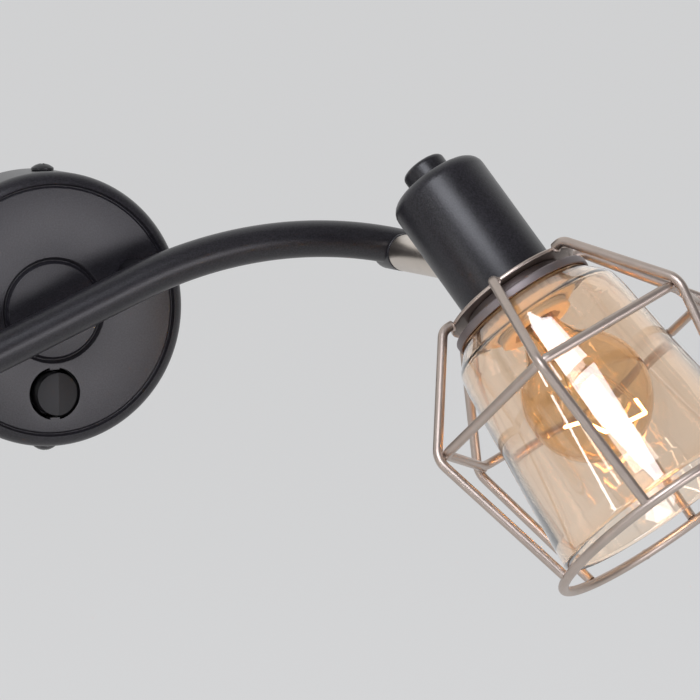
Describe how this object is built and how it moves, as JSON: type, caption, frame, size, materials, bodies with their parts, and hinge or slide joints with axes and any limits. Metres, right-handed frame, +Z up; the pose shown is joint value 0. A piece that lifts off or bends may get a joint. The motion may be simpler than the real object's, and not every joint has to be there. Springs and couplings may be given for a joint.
{
  "type": "wall spotlight",
  "caption": "Wall spotlight: round switched base, wave-shaped bar arm and swivelling heads, each a hexagonal wire cage around an amber glass shade with a ball bulb.",
  "frame": {"origin": "centre of the round base on the wall plane, midway between the two wall-screw slots", "axes": "+Z up, +X to the right as seen from the room, -Y out of the wall towards the viewer"},
  "size_m": [0.4174, 0.2282, 0.1883],
  "materials": {
    "black_lacquer": "smooth satin black lacquer on steel",
    "black_screw": "black-plated steel screw",
    "zinc_sheet": "zinc-plated steel, dull",
    "switch_plastic": "black moulded plastic, lightly glossy",
    "terminal_plastic": "off-white moulded plastic",
    "washer_plastic": "black nylon",
    "holder_plastic": "cream moulded thermoset",
    "nickel": "satin warm nickel plate",
    "amber_glass": "clear pale amber blown glass",
    "clear_glass": "clear bulb glass",
    "bulb_brass": "plain brass screw cap",
    "filament_wire": "lit filament on thin support wires"
  },
  "bodies": {
    "base": {"base_cover": "black_lacquer", "wall_bracket": "zinc_sheet", "cover_screw_top": "black_screw", "cover_screw_bottom": "black_screw", "switch_body": "switch_plastic", "terminal_block": "terminal_plastic", "arm_tube": "black_lacquer", "arm_post_right": "black_lacquer", "arm_post_left": "black_lacquer", "post_nut_right": "zinc_sheet", "post_nut_left": "zinc_sheet", "hub_right": "black_lacquer", "hub_left": "black_lacquer"},
    "rocker": {"switch_rocker": "switch_plastic"},
    "swivel_right": {"swivel_stem_right": "nickel", "pan_washer_right": "washer_plastic", "pan_nut_right": "zinc_sheet", "tilt_screw_right": "nickel"},
    "head_right": {"cup_right": "black_lacquer", "cap_nut_right": "black_lacquer", "cup_lug_right": "black_lacquer", "lampholder_right": "holder_plastic", "cage_plate_right": "nickel", "cage_hexagon_right": "nickel", "cage_ring_right": "nickel", "glass_dish_right": "nickel", "glass_shade_right": "amber_glass", "shade_ring_right": "holder_plastic", "bulb_glass_right": "clear_glass", "bulb_cap_right": "bulb_brass", "filament_right": "filament_wire", "cage_rib_1_right": "nickel", "cage_rib_2_right": "nickel", "cage_rib_3_right": "nickel", "cage_rib_4_right": "nickel", "cage_rib_5_right": "nickel", "cage_rib_6_right": "nickel"},
    "swivel_left": {"swivel_stem_left": "nickel", "pan_washer_left": "washer_plastic", "pan_nut_left": "zinc_sheet", "tilt_screw_left": "nickel"},
    "head_left": {"cup_left": "black_lacquer", "cap_nut_left": "black_lacquer", "cup_lug_left": "black_lacquer", "lampholder_left": "holder_plastic", "cage_plate_left": "nickel", "cage_hexagon_left": "nickel", "cage_ring_left": "nickel", "glass_dish_left": "nickel", "glass_shade_left": "amber_glass", "shade_ring_left": "holder_plastic", "bulb_glass_left": "clear_glass", "bulb_cap_left": "bulb_brass", "filament_left": "filament_wire", "cage_rib_1_left": "nickel", "cage_rib_2_left": "nickel", "cage_rib_3_left": "nickel", "cage_rib_4_left": "nickel", "cage_rib_5_left": "nickel", "cage_rib_6_left": "nickel"}
  },
  "joints": [
    {"name": "switch_rock", "type": "hinge", "parent": "base", "child": "rocker", "pos_m": [0, -0.0228, -0.03025], "axis": [0, 0, 1], "range_deg": [-12, 0]},
    {"name": "pan_right", "type": "hinge", "parent": "base", "child": "swivel_right", "pos_m": [0.1256, -0.0554, 0.01945], "axis": [0, -1, 0], "range_deg": [-170, 170]},
    {"name": "tilt_right", "type": "hinge", "parent": "swivel_right", "child": "head_right", "pos_m": [0.1256, -0.10325, 0.01945], "axis": [0.8918, 0, 0.4524], "range_deg": [-50, 30]},
    {"name": "pan_left", "type": "hinge", "parent": "base", "child": "swivel_left", "pos_m": [-0.1256, -0.0554, -0.01945], "axis": [0, -1, 0], "range_deg": [-170, 170]},
    {"name": "tilt_left", "type": "hinge", "parent": "swivel_left", "child": "head_left", "pos_m": [-0.1256, -0.10325, -0.01945], "axis": [0.8918, 0, -0.4524], "range_deg": [-50, 30]}
  ]
}
